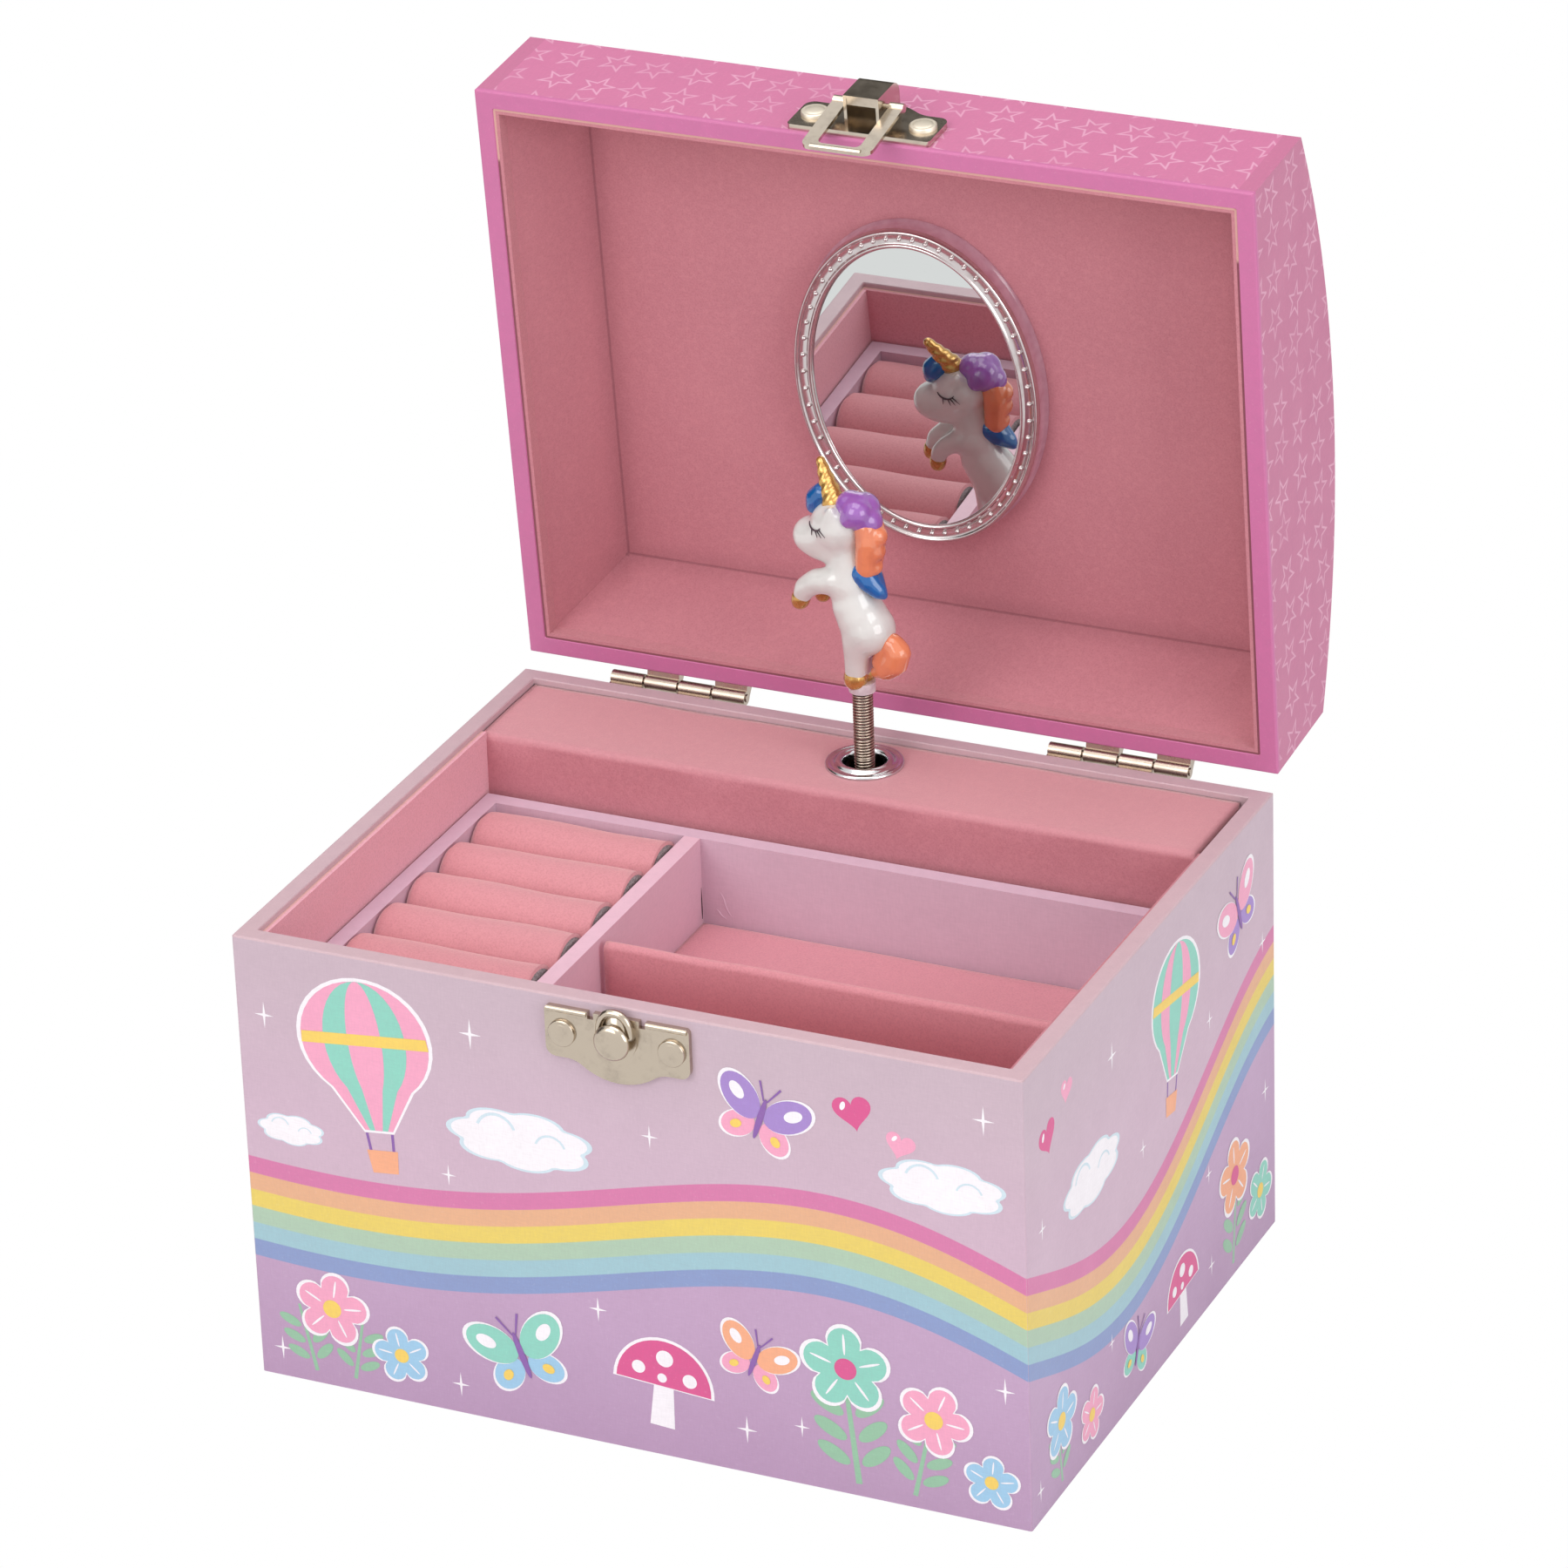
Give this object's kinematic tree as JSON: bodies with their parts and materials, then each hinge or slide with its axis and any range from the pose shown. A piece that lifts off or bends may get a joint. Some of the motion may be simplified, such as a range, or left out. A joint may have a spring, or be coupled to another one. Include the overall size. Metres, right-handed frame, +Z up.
{
  "type": "musical jewellery box",
  "caption": "Paper-covered musical jewellery box with an arched mirrored lid, a lift-out tray with ring rolls, and a unicorn that turns on a coil spring and folds down under the lid.",
  "frame": {"origin": "middle of the case's underside, midway between its left and right faces and its front and back faces", "axes": "+X to the right seen from the front, +Y towards the hinged back, +Z up"},
  "size_m": [0.155, 0.1575, 0.2219],
  "materials": {
    "printed_board": "satin printed paper over board",
    "pink_board": "satin printed paper over board",
    "lilac_board": "matt paper over board",
    "velour": "flocked velour",
    "nickel": "polished nickel plate",
    "brass": "machined",
    "steel": "ground",
    "mirror_glass": "silvered",
    "white_plastic": "glossy, hand painted",
    "clear_plastic": "translucent"
  },
  "bodies": {
    "case": {"bottom_panel": "printed_board", "front_wall": "printed_board", "back_wall": "printed_board", "left_wall": "printed_board", "right_wall": "printed_board", "front_lining": "velour", "left_lining": "velour", "right_lining": "velour", "tray_supports": "lilac_board", "cover_front": "velour", "cover_top": "velour", "eyelet": "nickel", "latch_plate": "nickel", "latch_knob": "nickel", "latch_rivets": "nickel", "hinge_case_leaves": "nickel", "hinge_case_nails": "nickel", "hinge_pins": "steel", "bedplate": "brass", "bedplate_screws": "nickel", "spring_housing": "brass", "housing_posts": "steel", "comb_rest": "steel", "comb": "steel", "comb_screws": "nickel"},
    "lid": {"lid_top": "pink_board", "lid_front_board": "pink_board", "lid_back_board": "pink_board", "lid_left_end": "pink_board", "lid_right_end": "pink_board", "lid_lining": "velour", "lid_ceiling": "velour", "mirror_glass": "mirror_glass", "mirror_frame": "nickel", "catch_plate": "nickel", "catch_housing": "nickel", "catch_rivets": "nickel", "hinge_lid_leaves": "nickel", "hinge_lid_nails": "nickel"},
    "hasp": {"hasp": "nickel"},
    "tray": {"tray": "lilac_board", "tray_partition": "lilac_board", "ring_rolls": "velour", "compartment_pad": "velour", "tray_divider": "velour"},
    "cylinder": {"cylinder_arbor": "steel", "pinned_cylinder": "brass", "cylinder_pinion": "brass", "cylinder_wheel": "brass", "spring_root": "nickel"},
    "great_wheel": {"great_wheel": "brass"},
    "governor_wheel": {"governor_wheel": "brass"},
    "governor_fly": {"governor_fly": "steel"},
    "winder": {"key_arbor": "steel", "winding_key": "brass"},
    "spring_fold": {"spring_bend": "nickel"},
    "figurine": {"spring_upper": "nickel", "figure": "white_plastic", "figure_peg": "clear_plastic"}
  },
  "joints": [
    {"name": "lid_hinge", "type": "hinge", "parent": "case", "child": "lid", "pos_m": [0, 0.0628, 0.09135], "axis": [1, 0, 0], "range_deg": [0, 84.8]},
    {"name": "hasp_pivot", "type": "hinge", "parent": "lid", "child": "hasp", "pos_m": [0, 0.05845, 0.21862], "axis": [-1, 0, 0], "range_deg": [0, 60]},
    {"name": "tray_lift", "type": "slide", "parent": "case", "child": "tray", "axis": [0, 0, -1], "range_m": [-0.06, 0]},
    {"name": "cylinder_spin", "type": "hinge", "parent": "case", "child": "cylinder", "pos_m": [0, 0.0475, 0.0525], "axis": [0, 0, 1], "continuous": true},
    {"name": "great_wheel_spin", "type": "hinge", "parent": "case", "child": "great_wheel", "pos_m": [0, 0.05326, 0.0341], "axis": [0, 1, 0], "continuous": true},
    {"name": "governor_wheel_spin", "type": "hinge", "parent": "case", "child": "governor_wheel", "pos_m": [-0.0084, 0.0475, 0.0711], "axis": [0, 0, 1], "continuous": true},
    {"name": "governor_fly_spin", "type": "hinge", "parent": "case", "child": "governor_fly", "pos_m": [-0.01638, 0.0475, 0.0711], "axis": [0, 0, 1], "continuous": true},
    {"name": "key_wind", "type": "hinge", "parent": "case", "child": "winder", "pos_m": [0, 0.06015, 0.0341], "axis": [0, 1, 0], "continuous": true},
    {"name": "figurine_fold", "type": "hinge", "parent": "case", "child": "spring_fold", "pos_m": [0, 0.0475, 0.094], "axis": [1, 0, 0], "range_deg": [0, 90]},
    {"name": "figurine_spin", "type": "hinge", "parent": "spring_fold", "child": "figurine", "pos_m": [0, 0.0475, 0.094], "axis": [0, 0, 1], "continuous": true}
  ],
  "couplings": [
    {"joint": "figurine_fold", "follows": "lid_hinge", "ratio": 1.0612},
    {"joint": "figurine_spin", "follows": "cylinder_spin", "ratio": 1},
    {"joint": "great_wheel_spin", "follows": "cylinder_spin", "ratio": -0.33333},
    {"joint": "governor_wheel_spin", "follows": "cylinder_spin", "ratio": -4},
    {"joint": "governor_fly_spin", "follows": "cylinder_spin", "ratio": 15}
  ]
}
